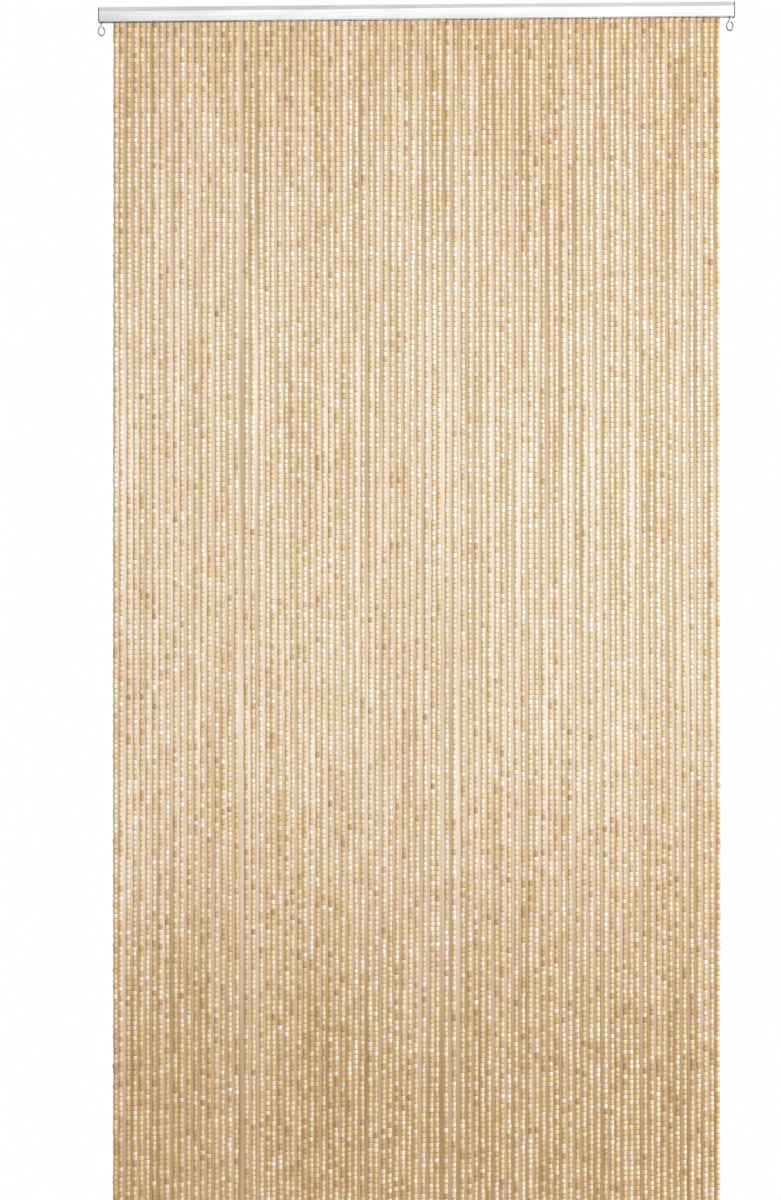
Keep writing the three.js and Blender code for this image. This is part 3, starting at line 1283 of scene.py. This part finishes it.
@dataclass
class HangingEye:
    """A wire eye: a foot in the rail, a stem through its slot and an oval loop."""

    side: Side
    turn: float
    finish: Wire
    wire: float = 1.8 * MM
    loop_height: float = 14.6 * MM
    loop_width: float = 10.6 * MM
    loop_angles: Span = (math.radians(112), math.radians(434))
    loop_points: int = 30
    stem_bend: float = -14.1 * MM  # the z where the stem turns into the loop
    smoothness: int = 4
    foot: Vector = Vector((3.0 * MM, 9.0 * MM, 1.6 * MM))
    foot_edge: float = 0.3 * MM
    foot_segments: int = 2

    def build(self) -> bpy.types.Object:
        """Builds the eye.

        Returns:
            The piece.
        """
        node = f"eye_{self.side.value}"
        low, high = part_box(node)
        centre = (low + high) / 2
        foot_middle = high.z - self.foot.z / 2
        place = Matrix.Translation((centre.x, centre.y, 0))
        wire = self._wire(low.z, foot_middle)
        wire.transform(place @ Matrix.Rotation(self.turn, 4, "Z"))
        form = bmesh.new()
        take_in(form, wire)
        block_place = place @ Matrix.Translation((0, 0, foot_middle)) @ Matrix.Diagonal((*self.foot, 1))
        foot = bmesh.ops.create_cube(form, size=1.0, matrix=block_place)["verts"]
        soften(form, edges_at(foot), self.foot_edge, self.foot_segments)
        return finished(f"{node}_wire", mesh_of(form), self.finish, node)

    def _wire(self, lowest: float, top: float) -> bpy.types.Mesh:
        """The wire around x = 0, as a mesh.

        Args:
            lowest: The z of the loop's lowest point.
            top: The z of the wire's upper end.

        Returns:
            The mesh.
        """
        radius = self.wire / 2
        centre = lowest + self.loop_height / 2
        points = [(0, 0, top), (0, 0, (top + self.stem_bend) / 2), (0, 0, self.stem_bend)]
        for angle in np.linspace(*self.loop_angles, self.loop_points):
            across = (self.loop_width / 2 - radius) * math.cos(angle)
            up = centre + (self.loop_height / 2 - radius) * math.sin(angle)
            points.append((across, 0, up))
        curve = bpy.data.curves.new("wire", "CURVE")
        curve.dimensions = "3D"
        curve.bevel_depth = radius
        curve.bevel_resolution = self.smoothness
        curve.resolution_u = self.smoothness
        curve.use_fill_caps = True
        spline = curve.splines.new("NURBS")
        spline.points.add(len(points) - 1)
        for point, place in zip(spline.points, points):
            point.co = (*place, 1)
        spline.order_u = self.smoothness
        spline.use_endpoint_u = True
        return baked(bpy.data.objects.new("wire", curve))


@dataclass(frozen=True)
class Sky:
    """White beside the curtain, a warm painted shadow seen through the pane behind it, and a dimmer dome as
    light.
    """

    white: Colour = srgb(254, 254, 254)
    # stops of the painted shadow behind the strands, in stripes
    painted_shadow_stops: tuple[tuple[float, Colour], ...] = (
        (0.3, srgb(202, 176, 142)),
        (0.44, srgb(222, 200, 171)),
        (0.57, srgb(235, 216, 197)),
        (0.7, srgb(247, 233, 221)),
    )
    stripes: Pattern = Pattern((420.0, 1.0, 9.0), 1.0)  # to one unit of the direction's tangent
    low_painted_shadow: Colour = srgb(211, 195, 176)  # what the painted shadow is multiplied with low down
    high_painted_shadow: Colour = srgb(241, 233, 225)
    painted_shadow_turn: Span = (0.04, 0.2)  # of the tangent, up and down
    pane_faces: float = 1.5  # a ray through the pane crosses two faces, one through the floor's rim only one
    dark: Colour = srgb(126, 125, 124)
    bright: Colour = srgb(204, 200, 196)
    bright_side: Span = (0.75, 0.65)  # the weights of right and up
    brightening: Span = (-0.5, 0.8)
    low: Colour = srgb(180, 172, 162)
    lowering: Span = (0.15, 0.4)
    behind: Colour = srgb(198, 190, 182)
    backing: Span = (0.75, 0.92)
    overhead: Colour = srgb(224, 224, 229)
    rising: Span = (0.76, 0.9)

    def build(self) -> None:
        """Fills the world."""
        world = bpy.data.worlds.new("sky")
        world.use_nodes = True
        bpy.context.scene.world = world
        graph = Graph(world.node_tree)
        direction = graph.parts(graph.signal("ShaderNodeTexCoord", output="Generated"))
        path = graph.node("ShaderNodeLightPath")
        crossed = Signal(graph, path.outputs["Transparent Depth"])
        seen = Signal(graph, path.outputs["Is Camera Ray"])
        # through the pane, the backdrop is the painted shadow
        backdrop = graph.mix(crossed > self.pane_faces, self.white, self._painted_shadow(graph, *direction))
        colour = graph.mix(seen, self._dome(graph, *direction), backdrop)
        graph.feed(world.node_tree.nodes["Background"], {"Color": colour, "Strength": 1.0})

    def _painted_shadow(self, graph: Graph, x: Signal, y: Signal, z: Signal) -> Signal:
        """The warm painted shadow in stripes, deeper high up and low down.

        Args:
            graph: The world's graph.
            x: The X of the direction.
            y: The Y of the direction.
            z: The Z of the direction.

        Returns:
            The colour.
        """
        place = graph.signal("ShaderNodeCombineXYZ", None, {0: x / y, 2: z / y})
        shade = graph.ramp(graph.noise(place, self.stripes), self.painted_shadow_stops)
        shade = graph.mix(graph.step(0.0 - z / y, self.painted_shadow_turn), shade, self.low_painted_shadow, "MULTIPLY")
        return graph.mix(graph.step(z / y, self.painted_shadow_turn), shade, self.high_painted_shadow, "MULTIPLY")

    def _dome(self, graph: Graph, x: Signal, y: Signal, z: Signal) -> Signal:
        """The light of the sky: brighter from the right and from above.

        Args:
            graph: The world's graph.
            x: The X of the direction.
            y: The Y of the direction.
            z: The Z of the direction.

        Returns:
            The colour.
        """
        right, up = self.bright_side
        dome = graph.mix(graph.step(x * right + z * up, self.brightening), self.dark, self.bright)
        dome = graph.mix(graph.step(0.0 - z, self.lowering), dome, self.low)
        dome = graph.mix(graph.step(y, self.backing), dome, self.behind)
        return graph.mix(graph.step(z, self.rising), dome, self.overhead)


@dataclass(frozen=True)
class SoftLight:
    """A rectangular light."""

    name: str
    place: Triple
    size: Span  # its width and height
    power: float  # watts
    colour: Triple


@dataclass
class Studio:
    """The camera, the lights, the floor, the pane and the sky around the curtain."""

    distance: float = 4.0
    yaw: float = math.radians(2.4)
    aim: Vector = Vector((-35 * MM, -7 * MM, -831.3 * MM))
    picture_height: float = 1.698  # how much of the curtain's plane the picture shows
    sensor: float = 36.0
    floor_drop: float = 40 * MM
    floor_reach: float = 1.7
    floor_sides: int = 64
    pane_inset: float = 3.5 * MM
    pane_thickness: float = 0.5 * MM
    lights: tuple[SoftLight, ...] = (
        SoftLight("key", (3.3, -2.7, 0.1), (1.2, 1.8), 119.0, (1.0, 0.985, 0.96)),
        SoftLight("front", (0.9, -4.6, 0.75), (4.6, 2.3), 36.0, (1.0, 0.99, 0.98)),
        SoftLight("back", (0.5, 3.6, 0.7), (2.4, 2.4), 85.0, (1.0, 0.98, 0.96)),
    )

    def build(self) -> None:
        """Builds everything around the curtain."""
        self._camera()
        Sky().build()
        self._pane()
        self._floor()
        for light in self.lights:
            self._light(light)
        view = bpy.context.scene.view_settings
        view.view_transform = "Standard"
        view.look = "None"

    def _camera(self) -> None:
        """Adds a level camera, a little to the right of the curtain's middle."""
        data = bpy.data.cameras.new("camera")
        data.sensor_fit = "VERTICAL"
        data.sensor_height = self.sensor
        data.sensor_width = self.sensor
        data.lens = self.sensor * self.distance / self.picture_height
        camera = linked(bpy.data.objects.new("camera", data))
        camera.location = self.aim + self.distance * Vector((math.sin(self.yaw), -math.cos(self.yaw), 0))
        camera.rotation_euler = (FULL_TURN / 4, 0, self.yaw)
        bpy.context.scene.camera = camera

    def _pane(self) -> None:
        """Adds a clear pane behind the strands. The sky seen through both its faces has the warm painted
        shadow.
        """
        low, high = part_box("strands")
        rail_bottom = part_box("rail")[0].z
        width = high.x - low.x - 2 * self.pane_inset
        height = rail_bottom - low.z - self.pane_inset
        middle = Matrix.Translation(((low.x + high.x) / 2, high.y, rail_bottom - height / 2))
        form = bmesh.new()
        size = Matrix.Diagonal((width, self.pane_thickness, height, 1))
        bmesh.ops.create_cube(form, size=1.0, matrix=middle @ size)
        clear = bpy.data.materials.new("clear_pane")
        clear.use_nodes = True
        tree = clear.node_tree
        surface = tree.nodes.new("ShaderNodeBsdfTransparent")
        tree.links.new(surface.outputs[0], tree.nodes["Material Output"].inputs["Surface"])
        self._set_up("pane", form, clear)

    def _floor(self) -> None:
        """Adds the floor a little below the strands."""
        form = bmesh.new()
        bmesh.ops.create_circle(form, cap_ends=True, segments=self.floor_sides, radius=self.floor_reach)
        bmesh.ops.translate(form, vec=(0, 0, CAD_BOX[0].z - self.floor_drop), verts=form.verts)
        self._set_up("floor", form, FloorPaint().material())

    def _set_up(self, name: str, form: bmesh.types.BMesh, material: bpy.types.Material) -> None:
        """Makes a bmesh a thing of the studio that isn't part of the curtain.

        Args:
            name: Its name.
            form: Its shape, in place.
            material: Its material.
        """
        mesh = plain_mesh(form)
        mesh.materials.append(material)
        linked(bpy.data.objects.new(name, mesh))

    def _light(self, light: SoftLight) -> None:
        """Adds a light that faces the curtain's middle and isn't seen itself."""
        data = bpy.data.lights.new(light.name, "AREA")
        data.shape = "RECTANGLE"
        data.size, data.size_y = light.size
        data.energy = light.power
        data.color = light.colour
        lamp = linked(bpy.data.objects.new(light.name, data))
        lamp.location = light.place
        lamp.rotation_euler = (self.aim - Vector(light.place)).to_track_quat("-Z", "Y").to_euler()
        lamp.visible_camera = False


def main() -> None:
    """Builds the curtain and everything around it."""
    logging.basicConfig(level=logging.INFO, format="%(message)s")
    Studio().build()
    paths = StrandPaths(frame["nodes"]["strands"], strands=90, segments=8)
    beads = Beads(paths, BeadWood())
    beads.build()
    rail = Rail(RailMetal(), CapPlastic())
    rail.build()
    Threads(paths, Thread(), rail.strip_bottom(), beads.knot_room).build()
    eye_turns = {Side.LEFT: math.radians(20), Side.RIGHT: 0.0}
    for side, turn in eye_turns.items():
        HangingEye(side, turn, Wire()).build()


if __name__ == "__main__":
    main()
